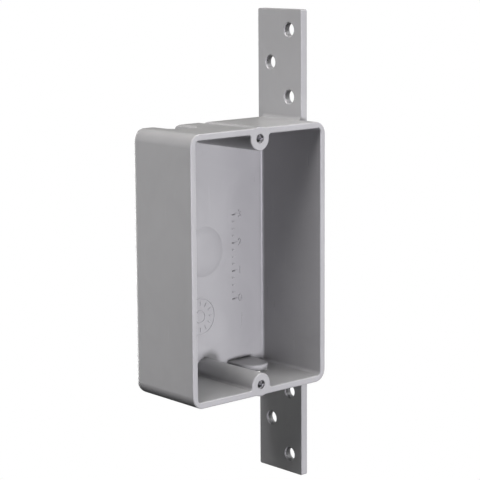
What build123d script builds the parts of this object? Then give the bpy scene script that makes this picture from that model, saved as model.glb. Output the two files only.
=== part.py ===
from build123d import *
from math import atan, degrees, radians, tan
import os

# Shallow single-gang switch box, moulded in one piece with a nail-on strap along its right side.
# Millimetres. The origin is the middle of the front rim, midway between the two device screws.
# +X points to the strap side, +Y into the box and +Z up.

# Box shell
screw_spacing = 83.34
screw_to_end = 3.58
box_width = 59.9
box_depth = 31.5
wall = 2.15
back_wall = 2.0
corner_radius = 4.3
inner_corner_radius = 1.3
draft_angle = 0.5
back_edge_radius = 3.2
rim_edge_radius = 0.4
rim_inner_edge = 0.25
inner_back_radius = 1.2

# Device screw bosses, each with a slot down the outside of the wall behind it
boss_radius = 4.0
boss_inner_blend = 1.0
boss_outer_blend = 3.0
pilot_radius = 1.6
pilot_from_back = 6.5
pilot_mouth = 0.1
relief_slot_width = 4.8
relief_slot_floor = 3.2
relief_slot_depth = 0.8
relief_slot_length = 24.0

# Cable knockouts, one in each end wall, turned half round from each other
entry_from_side = 8.55
entry_width = 10.7
entry_length = 14.3
entry_bevel = 0.7
tongue_thickness = 2.1
tongue_gap = 0.5
tongue_overlap = 0.15
tongue_edge = 0.3
web_width = 1.2
web_reach = 0.8
web_from_back = 3.0

# Gate dish in the middle of the back wall
dish_radius = 8.8
dish_depth = 0.5

# Nail-on strap
strap_length = 164.0
strap_width = 21.8
strap_thickness = 2.8
strap_from_back = 0.75
strap_rise = 0.7
strap_corner = 0.6
strap_edge = 0.15
strap_base_fillet = 1.2
nail_radius = 2.3
nail_mouth = 0.3
nail_from_tip = 6.8
nail_pitch = 11.5
nail_from_edge = 6.2
nail_rise = 0.5

# How far a cut or a blank runs past the surface that it goes through
overcut = 5.0

# Worked out from the sizes above
box_height = screw_spacing + 2 * screw_to_end
half_width = box_width / 2
half_height = box_height / 2
screw_height = screw_spacing / 2
inner_depth = box_depth - back_wall
inner_half_height = half_height - wall
end_wall_middle = half_height - wall / 2
rear_half_height = half_height - box_depth * tan(radians(draft_angle))
entry_offset = half_width - entry_from_side - entry_width / 2
tongue_outer_z = inner_half_height - tongue_gap
tongue_inner_z = tongue_outer_z - tongue_thickness
strap_inner_x = half_width - strap_thickness
strap_rear_y = box_depth - strap_from_back
strap_front_y = strap_rear_y - strap_width

# The mould opens along Y, so the profiles are drawn on the rim and pushed back from it.
rim_plane = Plane(origin=(0, 0, 0), x_dir=(1, 0, 0), z_dir=(0, 1, 0))


def along_y(radius, start, end, x=0.0, z=0.0):
    """Round bar parallel to Y."""
    bar = Cylinder(radius, end - start, align=(Align.CENTER, Align.CENTER, Align.MIN))
    return Pos(x, start, z) * Rot(X=-90) * bar


def block(x_range, y_range, z_range):
    """Box between two values on each axis."""
    lows, highs = zip(x_range, y_range, z_range)
    size = [high - low for low, high in zip(lows, highs)]
    return Pos(*lows) * Box(*size, align=(Align.MIN, Align.MIN, Align.MIN))


def at_both_ends(feature):
    """The feature at the top end, and its copy at the bottom turned half round the Y axis."""
    return [feature, Rot(Y=180) * feature]


def outer_shell():
    """Outside form: the drafted box, with each boss showing as a slight swelling on its end wall."""
    profile = RectangleRounded(box_width, box_height, corner_radius)
    profile += [Pos(0, side * screw_height) * Circle(boss_radius) for side in (-1, 1)]
    swelling_ends = [v for v in profile.vertices() if abs(v.X) < boss_radius]
    if swelling_ends:
        profile = fillet(swelling_ends, boss_outer_blend)
    shell = extrude(rim_plane * profile, box_depth, taper=draft_angle)
    shell = fillet(shell.faces().sort_by(Axis.Y)[-1].edges(), back_edge_radius)
    return fillet(shell.faces().sort_by(Axis.Y)[0].edges(), rim_edge_radius)


def cavity():
    """Inside form of the box, drafted like the outside so that the wall stays even."""
    profile = RectangleRounded(box_width - 2 * wall, box_height - 2 * wall, inner_corner_radius)
    hollow = extrude(rim_plane * profile, inner_depth, taper=draft_angle)
    return fillet(hollow.faces().sort_by(Axis.Y)[-1].edges(), inner_back_radius)


def screw_boss(side):
    """Straight round boss that runs down an end wall, blended into the wall."""
    lug_height = end_wall_middle - screw_height
    profile = Circle(boss_radius)
    profile += Pos(0, lug_height / 2) * Rectangle(2 * boss_radius, lug_height)
    foot_height = wall / 2
    foot = Rectangle(6 * boss_radius, foot_height)
    profile += Pos(0, lug_height - foot_height / 2) * foot
    profile = Pos(0, side * screw_height) * Rot(Z=90 - side * 90) * profile
    boss = extrude(rim_plane * profile, inner_depth + back_wall / 2)
    join_height = (screw_height + inner_half_height) / 2
    blend = min(boss_inner_blend, 0.8 * (inner_half_height - screw_height))
    joins = [
        edge
        for edge in boss.edges()
        if edge.length > inner_depth / 2
        and abs(edge.center().X) < 2 * boss_radius
        and join_height < abs(edge.center().Z) < end_wall_middle
    ]
    return fillet(joins, blend)


def relief_slot():
    """Slot with sloped sides down the outside of the end wall, in line with the screw."""
    front_y, rear_y = box_depth - relief_slot_length, box_depth + overcut
    floor = Rectangle(relief_slot_floor, rear_y - front_y)
    floor = Pos(0, (front_y + rear_y) / 2, -relief_slot_depth) * floor
    slope = (relief_slot_width - relief_slot_floor) / 2 / relief_slot_depth
    slot = extrude(floor, overcut, taper=-degrees(atan(slope)))
    return Pos(0, 0, half_height) * Rot(X=-draft_angle) * slot


def screw_pilot():
    """Pilot hole for a device screw, with a small countersink at its mouth."""
    hole = along_y(pilot_radius, -overcut, box_depth - pilot_from_back, z=screw_height)
    mouth = Cone(pilot_radius + pilot_mouth, pilot_radius, pilot_mouth)
    return hole + Pos(0, pilot_mouth / 2, screw_height) * Rot(X=-90) * mouth


def entry_outline(extra=0.0):
    """Plan of a cable entry: straight sides from the back, and a round front end."""
    half = entry_width / 2 + extra
    arc_y = box_depth - entry_length + entry_width / 2
    rear_y = box_depth + overcut
    sides = Pos(0, (arc_y + rear_y) / 2) * Rectangle(2 * half, rear_y - arc_y)
    return Pos(-entry_offset, 0) * (Pos(0, arc_y) * Circle(half) + sides)


def entry_channel():
    """Channel through the end wall, open to the back, with a bevelled mouth, shut by the tongue."""
    channel = extrude(Pos(0, 0, tongue_outer_z) * entry_outline(), half_height)
    bevel_foot = Pos(0, 0, rear_half_height - entry_bevel) * entry_outline()
    return channel + extrude(bevel_foot, 2 * entry_bevel, taper=-45)


def entry_tongue():
    """Breakable tongue just inside the channel, hinged on the back wall and held by two webs."""
    plate = extrude(Pos(0, 0, tongue_inner_z) * entry_outline(tongue_overlap), tongue_thickness)
    plate = fillet(plate.faces().sort_by(Axis.Z)[0].edges(), tongue_edge)
    plate &= block((-box_width, 0), (0, inner_depth + back_wall / 2), (0, box_height))
    web_y = inner_depth - web_from_back
    for side in (-1, 1):
        edge_x = -entry_offset + side * entry_width / 2
        plate += block(
            (edge_x - web_reach, edge_x + web_reach),
            (web_y - web_width, web_y),
            (tongue_outer_z - tongue_gap, inner_half_height + tongue_gap),
        )
    return plate


def gate_dish():
    """Shallow round dish in the middle of the back wall."""
    ball_radius = (dish_radius**2 + dish_depth**2) / (2 * dish_depth)
    ball = Pos(0, inner_depth + dish_depth - ball_radius, 0) * Sphere(ball_radius)
    return ball & along_y(dish_radius, inner_depth - dish_depth, box_depth)


def strap():
    """Flat nailing strap that runs the height of the box and past both ends."""
    outline = RectangleRounded(strap_width, strap_length, strap_corner)
    middle = (half_width, (strap_front_y + strap_rear_y) / 2, strap_rise)
    face = Plane(origin=middle, x_dir=(0, 1, 0), z_dir=(1, 0, 0))
    plate = extrude(face * outline, -strap_thickness)
    return chamfer(plate.edges() - plate.edges().filter_by(Axis.X), strap_edge)


def strap_base(side):
    """Concave fillet between the strap's inner face and the end wall, on the top or the bottom."""
    size = strap_base_fillet
    square = Pos(-size / 2, size / 2) * Rectangle(size, size)
    curve = square - Pos(-size, size) * Circle(size)
    profile = curve + Pos(0, -wall / 4) * Rectangle(2 * size, wall / 2)
    start = Plane(origin=(0, 0, 0), x_dir=(1, 0, 0), z_dir=(0, -1, 0))
    bar = Rot(X=-draft_angle) * extrude(start * profile, -box_depth)
    bar = Pos(strap_inner_x, 0, half_height) * bar
    rear = box_depth - back_edge_radius
    bar &= block((0, half_width), (strap_front_y + strap_edge, rear), (0, box_height))
    return bar if side > 0 else mirror(bar, about=Plane.XY)


def nail_holes():
    """Two staggered sets of three holes, one set in each ear of the strap, eased on both faces."""
    front_row = strap_front_y + nail_from_edge
    rear_row = strap_rear_y - nail_from_edge
    holes = []
    for side in (-1, 1):
        for step, row in enumerate((front_row, rear_row, front_row)):
            from_middle = strap_length / 2 - nail_from_tip - step * nail_pitch
            height = nail_rise + side * from_middle
            drill = Cylinder(nail_radius, 4 * strap_thickness)
            mouth = Cone(nail_radius, nail_radius + nail_mouth, nail_mouth)
            holes.append(Pos(half_width, row, height) * Rot(Y=90) * drill)
            holes.append(Pos(strap_inner_x + nail_mouth / 2, row, height) * Rot(Y=-90) * mouth)
            holes.append(Pos(half_width - nail_mouth / 2, row, height) * Rot(Y=90) * mouth)
    return holes


def switch_box():
    """The whole moulding, with the cavity cut first and what stands in it added after."""
    outside = outer_shell()
    body = outside + strap() + strap_base(1) + strap_base(-1)
    body -= cavity()
    body += [screw_boss(side) & outside for side in (-1, 1)]
    rim = body.faces().sort_by(Axis.Y)[0]
    body = chamfer(rim.inner_wires()[0].edges(), rim_inner_edge)
    body -= gate_dish()
    for cut in (entry_channel(), relief_slot(), screw_pilot()):
        body -= at_both_ends(cut)
    body += at_both_ends(entry_tongue())
    body -= nail_holes()
    return body


os.makedirs("parts", exist_ok=True)
export_step(switch_box(), "parts/switch_box.step")
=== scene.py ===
import math

import bpy
from mathutils import Matrix, Vector


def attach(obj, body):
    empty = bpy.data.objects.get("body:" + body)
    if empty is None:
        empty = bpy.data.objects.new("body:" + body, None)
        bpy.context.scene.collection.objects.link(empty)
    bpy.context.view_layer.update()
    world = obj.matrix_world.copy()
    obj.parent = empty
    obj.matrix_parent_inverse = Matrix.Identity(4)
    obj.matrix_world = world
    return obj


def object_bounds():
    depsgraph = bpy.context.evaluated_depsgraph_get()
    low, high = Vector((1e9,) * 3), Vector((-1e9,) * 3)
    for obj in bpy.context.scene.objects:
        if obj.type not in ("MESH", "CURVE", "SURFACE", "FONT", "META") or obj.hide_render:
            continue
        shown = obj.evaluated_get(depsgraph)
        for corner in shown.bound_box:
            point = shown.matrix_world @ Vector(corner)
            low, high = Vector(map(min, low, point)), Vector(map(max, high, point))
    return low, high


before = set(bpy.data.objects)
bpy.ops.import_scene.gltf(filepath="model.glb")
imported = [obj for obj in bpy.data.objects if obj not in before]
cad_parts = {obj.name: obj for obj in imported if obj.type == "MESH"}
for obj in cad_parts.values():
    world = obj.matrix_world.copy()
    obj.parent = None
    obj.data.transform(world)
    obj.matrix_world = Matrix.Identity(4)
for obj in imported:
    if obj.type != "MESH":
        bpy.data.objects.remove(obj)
cad_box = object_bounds()

# A moulded grey switch box with a nailing strap, on a pale studio floor.
# Metres, in the box's own frame: +X to the strap side, +Y into the box, +Z up.
MM = 0.001

# Camera, solved from the photograph's straight edges: angles in degrees round from the front, up and
# rolled, its distance, and how far it is moved right and up at that distance
PHOTO_WIDTH_PX = 480
FOCAL_PX = 1758.8
SENSOR_WIDTH_MM = 36.0
CAMERA_AZIMUTH, CAMERA_ELEVATION, CAMERA_ROLL = -41.555, 9.851, -0.399
CAMERA_DISTANCE = 585.5 * MM
CAMERA_RIGHT, CAMERA_UP = -6.945 * MM, 7.754 * MM
CAMERA_NEAREST, CAMERA_FARTHEST = 0.01, 100.0

# Studio lights: name, degrees round from the front, degrees up, distance, disc size, watts, colour, and
# whether it lights the surface, shows in its gloss, or both
STUDIO_LIGHTS = (
    ("front_key", -5, -5, 2.5, 0.25, 70.0, (0.965, 0.94, 1.0), "surface"),
    ("front_fill", 3, -5, 2.5, 0.25, 22.5, (0.965, 0.955, 1.0), "surface"),
    ("front_gleam", -30, -3, 2.2, 1.0, 42.0, (0.9, 0.85, 1.0), "gloss"),
    ("front_right_fill", 25, -5, 2.5, 1.1, 10.0, (1.0, 1.0, 1.0), "both"),
    ("left_softbox", -85, 60, 1.9, 1.4, 44.0, (1.0, 0.965, 1.0), "both"),
    ("left_low_softbox", -85, 45, 1.9, 1.4, 15.0, (1.0, 1.0, 0.98), "both"),
    ("top_softbox", 0, 88, 1.9, 1.4, 19.0, (1.0, 1.0, 0.85), "both"),
    ("right_softbox", 40, 45, 1.9, 1.4, 20.0, (0.98, 0.98, 1.0), "both"),
    ("rear_left_fill", -150, 0, 1.9, 1.4, 5.5, (0.98, 1.0, 0.98), "both"),
    ("rear_fill", 178, 0, 1.9, 1.4, 23.0, (1.0, 1.0, 1.0), "both"),
    ("right_side_fill", 82, 0, 1.9, 1.4, 14.0, (1.0, 1.0, 1.0), "both"),
)
FLOOR_SIZE = 6.0
FLOOR_Z = cad_box[0].z
WHITE = (1, 1, 1, 1)

# Skin of the moulded plastic: how fine its grain and its clouding are, where in the noise the clouds
# begin and are full, how much each counts in the gloss, and how strongly the plastic bends light
GRAINS_PER_METRE, CLOUDS_PER_METRE = 2600.0, 55.0
CLOUD_BEGINS, CLOUD_FULL = 0.3, 0.7
GRAIN_IN_GLOSS, CLOUD_IN_GLOSS = 0.35, 0.65
PLASTIC_IOR = 1.5

# Scuffs from handling: how fine they are, their lean and their stretch, where in the noise a streak and
# a patch begin and are full, how much they lighten the plastic, and how much smoother they leave it
SCUFFS_PER_METRE, PATCHES_PER_METRE = 900.0, 75.0
SCUFF_LEAN = (0.12, 0.2, 0.05)
SCUFF_STRETCH = (1.0, 1.0, 0.06)
STREAK_BEGINS, STREAK_FULL = 0.62, 0.74
PATCH_BEGINS, PATCH_FULL = 0.45, 0.7
SCUFF_LIGHTER = 1.16
SCUFF_SMOOTHER = 0.08

# Making: the turn that stands a flat shape up against the back wall, what counts as facing straight
# out of the box, the sharpest angle that is shaded smooth, and the gap that corners are merged over
STOOD_UP = (math.radians(90), 0, 0)
STRAIGHT_OUT = 0.9
SMOOTH_ANGLE = math.radians(35)
MERGE_GAP = 0.001 * MM
EDGE_SEGMENTS = 2

# Inside of the back wall, and how far the raised marks stand off it and how round their edges are
BACK_WALL_Y = 29.5 * MM
MARK_HEIGHT = 0.24 * MM
MARK_EDGE = 0.1 * MM
MARK_RING_SEGMENTS, MARK_RING_SIDES = 72, 10

# Moulded thread in the two device screw holes. Its section is a three-cornered circle, whose height is
# one and a half times its radius, with its tip turned to the middle of the bore and then blunted.
SCREW_Z = 41.67 * MM
BORE_RADIUS = 1.6 * MM
THREAD_PITCH = 0.79 * MM
THREAD_SECTION_RADIUS = THREAD_PITCH / 2
THREAD_SECTION_HEIGHT = 1.5 * THREAD_SECTION_RADIUS
THREAD_TIP_INWARDS = (0, 0, math.radians(90))
THREAD_DEPTH = 0.5 * MM
THREAD_INSET = 0.079 * MM
THREAD_CREST = 0.09 * MM
THREAD_START = 1.0 * MM
THREAD_TURNS = 29
THREAD_STEPS = 28
THREAD_END_CORNERS = 8

# Plain measuring rule on the back wall, numbered in centimetres from its lower end
RULE_CENTIMETRES = 3
STEPS_PER_CENTIMETRE = 4
RULE_STEP = 2.5 * MM
RULE_X = 13.2 * MM
RULE_FOOT_Z = -18.5 * MM
SHORT_TICK, SHORT_TICK_LINE = 1.3 * MM, 0.45 * MM
LONG_TICK, LONG_TICK_LINE = 2.3 * MM, 0.54 * MM
FIGURE_X = 16.9 * MM
FIGURE_SIZE = 3.6 * MM
FIGURE_EDGE = 0.05 * MM

# Low raised pad over the gate in the middle of the back wall, built up in rings from a drum that is
# sunk into the wall and stands a hair proud of it: width and rise of each ring in mm, edge first
PAD_RADIUS = 8.8 * MM
PAD_SEGMENTS = 128
PAD_DRUM = 0.9 * MM
PAD_PROUD = 0.009 * MM
PAD_RINGS_MM = (
    (0.5, 0.2), (0.7, 0.2), (0.9, 0.17), (1.2, 0.13), (1.6, 0.08), (1.8, 0.04), (1.2, 0.01)
)

# Plain dial mark below the pad
DIAL_MIDDLE = (-1.6 * MM, BACK_WALL_Y, -22.7 * MM)
DIAL_RADIUS, DIAL_LINE = 6.4 * MM, 0.55 * MM
HUB_RADIUS, HUB_LINE = 2.1 * MM, 0.5 * MM
DIAL_TICKS = 12
DIAL_TICK, DIAL_TICK_LINE = 1.5 * MM, 0.45 * MM
DIAL_TICK_RADIUS = 0.72 * DIAL_RADIUS


def node(tree, kind, values=None, **settings):
    """New node with its settings, and with values for its input sockets by name or number."""
    made = tree.nodes.new(kind)
    for name, setting in settings.items():
        setattr(made, name, setting)
    for socket, value in (values or {}).items():
        made.inputs[socket].default_value = value
    return made


def clear_selection():
    bpy.ops.object.select_all(action="DESELECT")


# Studio
def away(azimuth, elevation):
    """Direction from the box, in degrees round from the front and up."""
    turn, rise = math.radians(azimuth), math.radians(elevation)
    return Vector((
        math.sin(turn) * math.cos(rise),
        -math.cos(turn) * math.cos(rise),
        math.sin(rise),
    ))


def camera():
    """Camera at the photograph's place, with the photograph's angle of view."""
    data = bpy.data.cameras.new("studio_camera")
    data.sensor_width = SENSOR_WIDTH_MM
    data.lens = FOCAL_PX * SENSOR_WIDTH_MM / PHOTO_WIDTH_PX
    data.clip_start, data.clip_end = CAMERA_NEAREST, CAMERA_FARTHEST
    back = away(CAMERA_AZIMUTH, CAMERA_ELEVATION)
    level_right = (-back).cross(Vector((0, 0, 1))).normalized()
    level_up = level_right.cross(-back)
    roll = Matrix.Rotation(math.radians(CAMERA_ROLL), 3, back)
    right, up = roll @ level_right, roll @ level_up
    place = back * CAMERA_DISTANCE + right * CAMERA_RIGHT + up * CAMERA_UP
    view = bpy.data.objects.new("studio_camera", data)
    view.matrix_world = Matrix.Translation(place) @ Matrix((right, up, back)).transposed().to_4x4()
    bpy.context.scene.collection.objects.link(view)
    bpy.context.scene.camera = view


def soft_light(name, azimuth, elevation, distance, size, watts, colour, seen_by):
    """Round soft light that points at the box."""
    data = bpy.data.lights.new(name, "AREA")
    data.shape = "DISK"
    data.size = size
    data.energy = watts
    data.color = colour
    lamp = bpy.data.objects.new(name, data)
    lamp.visible_diffuse = seen_by != "gloss"
    lamp.visible_glossy = seen_by != "surface"
    direction = away(azimuth, elevation)
    lamp.location = direction * distance
    lamp.rotation_mode = "QUATERNION"
    lamp.rotation_quaternion = (-direction).to_track_quat("-Z", "Y")
    bpy.context.scene.collection.objects.link(lamp)


def floor_material():
    """Pale, evenly lit floor that casts no light back up and lets the low lamps through."""
    material = bpy.data.materials.new("pale_floor")
    material.use_nodes = True
    tree = material.node_tree
    tree.nodes.clear()
    path = node(tree, "ShaderNodeLightPath")
    side = node(tree, "ShaderNodeNewGeometry")
    from_above = node(tree, "ShaderNodeMath", operation="SUBTRACT", use_clamp=True)
    clear = node(tree, "ShaderNodeBsdfTransparent")
    lit = node(tree, "ShaderNodeEmission", {"Color": WHITE})
    choice = node(tree, "ShaderNodeMixShader")
    surface = node(tree, "ShaderNodeOutputMaterial")
    link = tree.links.new
    link(path.outputs["Is Camera Ray"], from_above.inputs[0])
    link(side.outputs["Backfacing"], from_above.inputs[1])
    link(from_above.outputs[0], choice.inputs["Fac"])
    link(clear.outputs[0], choice.inputs[1])
    link(lit.outputs[0], choice.inputs[2])
    link(choice.outputs[0], surface.inputs["Surface"])
    return material


def studio():
    """Pale floor, air that is white to the camera and lights nothing, and the lights."""
    clear_selection()
    bpy.ops.mesh.primitive_plane_add(size=FLOOR_SIZE, location=(0, 0, FLOOR_Z))
    floor = bpy.context.object
    floor.name = "studio_floor"
    floor.data.materials.append(floor_material())
    world = bpy.data.worlds.new("studio_air")
    bpy.context.scene.world = world
    world.use_nodes = True
    tree = world.node_tree
    path = node(tree, "ShaderNodeLightPath")
    air = tree.nodes["Background"]
    air.inputs["Color"].default_value = WHITE
    tree.links.new(path.outputs["Is Camera Ray"], air.inputs["Strength"])
    bpy.context.scene.view_settings.view_transform = "Standard"
    for row in STUDIO_LIGHTS:
        soft_light(*row)


# Finishes
def new_group(name, values, masks):
    """Shader node group that is given a place and named values, and puts out named masks."""
    tree = bpy.data.node_groups.new(name, "ShaderNodeTree")
    new_socket = tree.interface.new_socket
    new_socket(name="Place", in_out="INPUT", socket_type="NodeSocketVector")
    for given, value in values.items():
        new_socket(name=given, in_out="INPUT", socket_type="NodeSocketFloat").default_value = value
    for mask in masks:
        new_socket(name=mask, in_out="OUTPUT", socket_type="NodeSocketFloat")
    return tree, node(tree, "NodeGroupInput"), node(tree, "NodeGroupOutput")


def moulded_skin_group():
    """Fine mould grain, and the broad cloudy flow of the plastic as it filled the mould."""
    tree, given, result = new_group(
        "moulded_skin",
        {"Grains Per Metre": GRAINS_PER_METRE, "Clouds Per Metre": CLOUDS_PER_METRE},
        ("Grain", "Cloud", "Gloss"),
    )
    grain = node(tree, "ShaderNodeTexNoise", {"Detail": 3.0, "Roughness": 0.6})
    cloud = node(tree, "ShaderNodeTexNoise", {"Detail": 3.0, "Distortion": 1.2})
    spread = node(tree, "ShaderNodeMapRange", {"From Min": CLOUD_BEGINS, "From Max": CLOUD_FULL})
    fine = node(tree, "ShaderNodeMath", {1: GRAIN_IN_GLOSS}, operation="MULTIPLY")
    gloss = node(tree, "ShaderNodeMath", {1: CLOUD_IN_GLOSS}, operation="MULTIPLY_ADD")
    link = tree.links.new
    for texture, rate in ((grain, "Grains Per Metre"), (cloud, "Clouds Per Metre")):
        link(given.outputs["Place"], texture.inputs["Vector"])
        link(given.outputs[rate], texture.inputs["Scale"])
    link(cloud.outputs["Fac"], spread.inputs["Value"])
    link(grain.outputs["Fac"], fine.inputs[0])
    link(spread.outputs["Result"], gloss.inputs[0])
    link(fine.outputs[0], gloss.inputs[2])
    link(grain.outputs["Fac"], result.inputs["Grain"])
    link(spread.outputs["Result"], result.inputs["Cloud"])
    link(gloss.outputs[0], result.inputs["Gloss"])
    return tree


def handling_scuffs_group():
    """Mask of thin, broken scuffs that run mostly one way, gathered in a few patches."""
    tree, given, result = new_group(
        "handling_scuffs", {"Scuffs Per Metre": SCUFFS_PER_METRE, "Cover": 0.5}, ("Scuff",)
    )
    along = node(tree, "ShaderNodeMapping", {"Rotation": SCUFF_LEAN, "Scale": SCUFF_STRETCH})
    streak = node(tree, "ShaderNodeTexNoise", {"Detail": 2.0})
    thin = node(tree, "ShaderNodeMapRange", {"From Min": STREAK_BEGINS, "From Max": STREAK_FULL})
    patch = node(tree, "ShaderNodeTexNoise", {"Scale": PATCHES_PER_METRE, "Detail": 1.0})
    gather = node(tree, "ShaderNodeMapRange", {"From Min": PATCH_BEGINS, "From Max": PATCH_FULL})
    together = node(tree, "ShaderNodeMath", operation="MULTIPLY")
    amount = node(tree, "ShaderNodeMath", operation="MULTIPLY")
    link = tree.links.new
    link(given.outputs["Place"], along.inputs["Vector"])
    link(along.outputs["Vector"], streak.inputs["Vector"])
    link(given.outputs["Scuffs Per Metre"], streak.inputs["Scale"])
    link(given.outputs["Place"], patch.inputs["Vector"])
    link(streak.outputs["Fac"], thin.inputs["Value"])
    link(patch.outputs["Fac"], gather.inputs["Value"])
    link(thin.outputs["Result"], together.inputs[0])
    link(gather.outputs["Result"], together.inputs[1])
    link(together.outputs[0], amount.inputs[0])
    link(given.outputs["Cover"], amount.inputs[1])
    link(amount.outputs[0], result.inputs["Scuff"])
    return tree


def moulded_plastic(name, dark, light, roughness, grain_depth, scuff_cover):
    """Grey PVC as it comes from the mould, clouded from dark to light and from smooth to rough."""
    material = bpy.data.materials.new(name)
    material.use_nodes = True
    tree = material.node_tree
    shader = tree.nodes["Principled BSDF"]
    shader.inputs["IOR"].default_value = PLASTIC_IOR
    lightest = [SCUFF_LIGHTER * value for value in light]
    place = node(tree, "ShaderNodeTexCoord")
    skin = node(tree, "ShaderNodeGroup", node_tree=skin_group)
    scuffs = node(tree, "ShaderNodeGroup", {"Cover": scuff_cover}, node_tree=scuff_group)
    tint = node(tree, "ShaderNodeMix", {"A": (*dark, 1), "B": (*light, 1)}, data_type="RGBA")
    worn = node(tree, "ShaderNodeMix", {"B": (*lightest, 1)}, data_type="RGBA")
    gloss = node(tree, "ShaderNodeMapRange", {"To Min": roughness[0], "To Max": roughness[1]})
    rubbed = node(tree, "ShaderNodeMath", {1: -SCUFF_SMOOTHER}, operation="MULTIPLY_ADD")
    bump = node(tree, "ShaderNodeBump", {"Strength": 1.0, "Distance": grain_depth})
    link = tree.links.new
    for group in (skin, scuffs):
        link(place.outputs["Object"], group.inputs["Place"])
    link(skin.outputs["Cloud"], tint.inputs["Factor"])
    link(tint.outputs["Result"], worn.inputs["A"])
    link(scuffs.outputs["Scuff"], worn.inputs["Factor"])
    link(worn.outputs["Result"], shader.inputs["Base Color"])
    link(skin.outputs["Gloss"], gloss.inputs["Value"])
    link(scuffs.outputs["Scuff"], rubbed.inputs[0])
    link(gloss.outputs["Result"], rubbed.inputs[2])
    link(rubbed.outputs[0], shader.inputs["Roughness"])
    link(skin.outputs["Grain"], bump.inputs["Height"])
    link(bump.outputs["Normal"], shader.inputs["Normal"])
    return material


# Pieces
def choose(*pieces):
    """Select these pieces and nothing else, and make the first one active."""
    clear_selection()
    for piece in pieces:
        piece.select_set(True)
    bpy.context.view_layer.objects.active = pieces[0]


def edit(piece, select="SELECT"):
    """Go into edit mode on one piece, with all of it or nothing of it selected."""
    choose(piece)
    bpy.ops.object.mode_set(mode="EDIT")
    bpy.ops.mesh.select_all(action=select)


def done():
    bpy.ops.object.mode_set(mode="OBJECT")


def edit_only(piece, kind, wanted):
    """Go into edit mode with only the faces ("FACE") or corners ("VERT") selected that are wanted."""
    edit(piece, "DESELECT")
    bpy.ops.mesh.select_mode(type=kind)
    done()
    for part in piece.data.polygons if kind == "FACE" else piece.data.vertices:
        part.select = wanted(part)
    bpy.ops.object.mode_set(mode="EDIT")


def settle(piece):
    """Bring a piece's place, turn and scale into its mesh, so that its object is at the origin."""
    choose(piece)
    bpy.ops.object.transform_apply(location=True, rotation=True, scale=True)


def apply(piece, modifier):
    choose(piece)
    bpy.ops.object.modifier_apply(modifier=modifier.name)


def copy_at(piece, shift):
    """A copy with its own mesh, moved by shift."""
    choose(piece)
    bpy.ops.object.duplicate(linked=False)
    copy = bpy.context.object
    copy.location = copy.location + Vector(shift)
    settle(copy)
    return copy


def joined(pieces):
    choose(*pieces)
    bpy.ops.object.join()
    return bpy.context.object


def finish_piece(piece, name, material):
    """Name a piece, turn its faces outwards, give it its finish and let it ride on the box."""
    edit(piece)
    bpy.ops.mesh.normals_make_consistent(inside=False)
    done()
    bpy.ops.object.shade_smooth_by_angle(angle=SMOOTH_ANGLE)
    piece.name = piece.data.name = name
    piece.data.materials.clear()
    piece.data.materials.append(material)
    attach(piece, "root")


def thread_ridge():
    """Blunt three-sided ridge that winds down a bore at the origin, its ends closed."""
    clear_selection()
    bpy.ops.mesh.primitive_circle_add(
        vertices=3, radius=THREAD_SECTION_RADIUS, fill_type="NGON",
        location=(BORE_RADIUS - THREAD_INSET, 0, 0), rotation=THREAD_TIP_INWARDS,
    )
    ridge = bpy.context.object
    ridge.scale = (1, THREAD_DEPTH / THREAD_SECTION_HEIGHT, 1)
    settle(ridge)
    edit_only(ridge, "VERT", lambda corner: corner.co.x < BORE_RADIUS - THREAD_DEPTH / 2)
    bpy.ops.mesh.bevel(affect="VERTICES", offset=THREAD_CREST, segments=EDGE_SEGMENTS)
    done()
    winding = ridge.modifiers.new("winding", "SCREW")
    winding.axis = "Y"
    winding.screw_offset = THREAD_PITCH
    winding.iterations = THREAD_TURNS
    winding.steps = winding.render_steps = THREAD_STEPS
    apply(ridge, winding)
    edit(ridge)
    bpy.ops.mesh.remove_doubles(threshold=MERGE_GAP)
    bpy.ops.mesh.fill_holes(sides=THREAD_END_CORNERS)
    done()
    return ridge


def screw_threads(material):
    """The same moulded thread in the upper and the lower screw hole."""
    upper = thread_ridge()
    upper.location = (0, THREAD_START, SCREW_Z)
    settle(upper)
    lower = copy_at(upper, (0, 0, -2 * SCREW_Z))
    finish_piece(upper, "upper_screw_thread", material)
    finish_piece(lower, "lower_screw_thread", material)


def raised_bar(x, z, width, height):
    """Low bar with rounded edges, half sunk into the back wall."""
    clear_selection()
    bpy.ops.mesh.primitive_cube_add(
        size=1, location=(x, BACK_WALL_Y, z), scale=(width, 2 * MARK_HEIGHT, height)
    )
    bar = bpy.context.object
    settle(bar)
    edit(bar)
    bpy.ops.mesh.bevel(affect="EDGES", offset=MARK_EDGE, segments=EDGE_SEGMENTS)
    done()
    return bar


def raised_ring(middle, radius, line):
    """Low ring with a rounded crown, half sunk into the back wall."""
    clear_selection()
    bpy.ops.mesh.primitive_torus_add(
        location=middle, rotation=STOOD_UP, major_radius=radius, minor_radius=line / 2,
        major_segments=MARK_RING_SEGMENTS, minor_segments=MARK_RING_SIDES,
    )
    ring = bpy.context.object
    ring.scale = (1, 1, 2 * MARK_HEIGHT / line)
    settle(ring)
    return ring


def repeated(piece, count, step):
    """A row of copies along a straight line, in one mesh."""
    row = piece.modifiers.new("row", "ARRAY")
    row.count = count
    row.use_relative_offset = False
    row.use_constant_offset = True
    row.constant_offset_displace = step
    apply(piece, row)
    return piece


def figure(text, x, z):
    """Raised plain figure, upright to someone who looks into the box."""
    clear_selection()
    bpy.ops.object.text_add(location=(x, BACK_WALL_Y, z), rotation=STOOD_UP)
    label = bpy.context.object
    label.data.body = text
    label.data.size = FIGURE_SIZE
    label.data.align_x = label.data.align_y = "CENTER"
    label.data.extrude = MARK_HEIGHT - FIGURE_EDGE
    label.data.bevel_depth = FIGURE_EDGE
    label.data.bevel_resolution = 1
    bpy.ops.object.convert(target="MESH")
    label = bpy.context.object
    settle(label)
    edit(label)
    bpy.ops.mesh.remove_doubles(threshold=MERGE_GAP)
    done()
    return label


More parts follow.
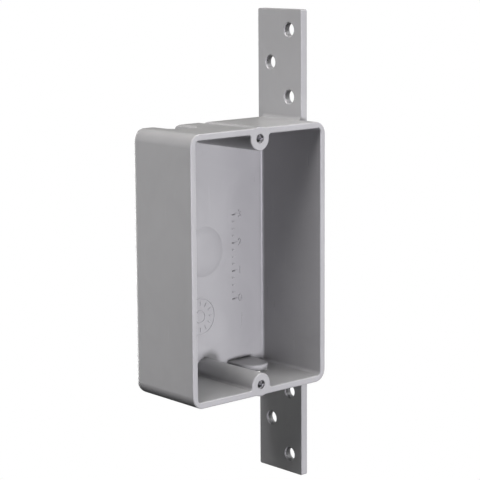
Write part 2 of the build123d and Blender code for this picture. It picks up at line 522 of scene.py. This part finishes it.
def measuring_rule(material):
    """Raised rule on the back wall, with a long tick and a figure at each centimetre."""
    centimetre = STEPS_PER_CENTIMETRE * RULE_STEP
    short = raised_bar(RULE_X + SHORT_TICK / 2, RULE_FOOT_Z, SHORT_TICK, SHORT_TICK_LINE)
    long = raised_bar(RULE_X + LONG_TICK / 2, RULE_FOOT_Z, LONG_TICK, LONG_TICK_LINE)
    parts = [
        repeated(short, RULE_CENTIMETRES * STEPS_PER_CENTIMETRE + 1, (0, 0, RULE_STEP)),
        repeated(long, RULE_CENTIMETRES + 1, (0, 0, centimetre)),
    ]
    for number in range(RULE_CENTIMETRES + 1):
        parts.append(figure(str(number), FIGURE_X, RULE_FOOT_Z + number * centimetre))
    finish_piece(joined(parts), "measuring_rule", material)


def gate_pad(material):
    """Low domed pad over the gate, with a short steep edge, sunk into the back wall."""
    clear_selection()
    bpy.ops.mesh.primitive_cylinder_add(
        vertices=PAD_SEGMENTS, radius=PAD_RADIUS, depth=PAD_DRUM,
        location=(0, BACK_WALL_Y - PAD_PROUD + PAD_DRUM / 2, 0), rotation=STOOD_UP,
    )
    pad = bpy.context.object
    settle(pad)
    edit_only(pad, "FACE", lambda face: face.normal.y < -STRAIGHT_OUT)
    for width, rise in PAD_RINGS_MM:
        bpy.ops.mesh.inset(thickness=width * MM, depth=rise * MM)
    done()
    finish_piece(pad, "gate_pad", material)


def dial_mark(material):
    """Raised plain dial below the gate pad: a ring, twelve ticks and a hub."""
    x, _, z = DIAL_MIDDLE
    parts = [
        raised_ring(DIAL_MIDDLE, DIAL_RADIUS, DIAL_LINE),
        raised_ring(DIAL_MIDDLE, HUB_RADIUS, HUB_LINE),
    ]
    tick = raised_bar(x, z + DIAL_TICK_RADIUS, DIAL_TICK_LINE, DIAL_TICK)
    for number in range(DIAL_TICKS):
        copy = copy_at(tick, (0, 0, 0))
        edit(copy)
        bpy.ops.transform.rotate(
            value=2 * math.pi * number / DIAL_TICKS, orient_axis="Y", center_override=DIAL_MIDDLE
        )
        done()
        parts.append(copy)
    bpy.data.objects.remove(tick)
    finish_piece(joined(parts), "dial_mark", material)


camera()
studio()

skin_group = moulded_skin_group()
scuff_group = handling_scuffs_group()
box_pvc = moulded_plastic(
    "moulded_pvc", dark=(0.236, 0.236, 0.24), light=(0.256, 0.256, 0.26),
    roughness=(0.27, 0.35), grain_depth=0.01 * MM, scuff_cover=0.5,
)
mark_pvc = moulded_plastic(
    "raised_mark_pvc", dark=(0.246, 0.246, 0.25), light=(0.266, 0.266, 0.27),
    roughness=(0.26, 0.32), grain_depth=0.008 * MM, scuff_cover=0.3,
)
# The thread plastic is coloured darker than the box's own grey as painted shade, standing for the shade
# deep inside the screw holes
thread_pvc_painted_shade = moulded_plastic(
    "thread_pvc_painted_shade", dark=(0.2, 0.2, 0.204), light=(0.24, 0.24, 0.244),
    roughness=(0.22, 0.3), grain_depth=0.004 * MM, scuff_cover=0.6,
)

box_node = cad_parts["switch_box"]
box_node.data.materials.clear()
box_node.data.materials.append(box_pvc)
screw_threads(thread_pvc_painted_shade)
gate_pad(box_pvc)
measuring_rule(mark_pvc)
dial_mark(mark_pvc)
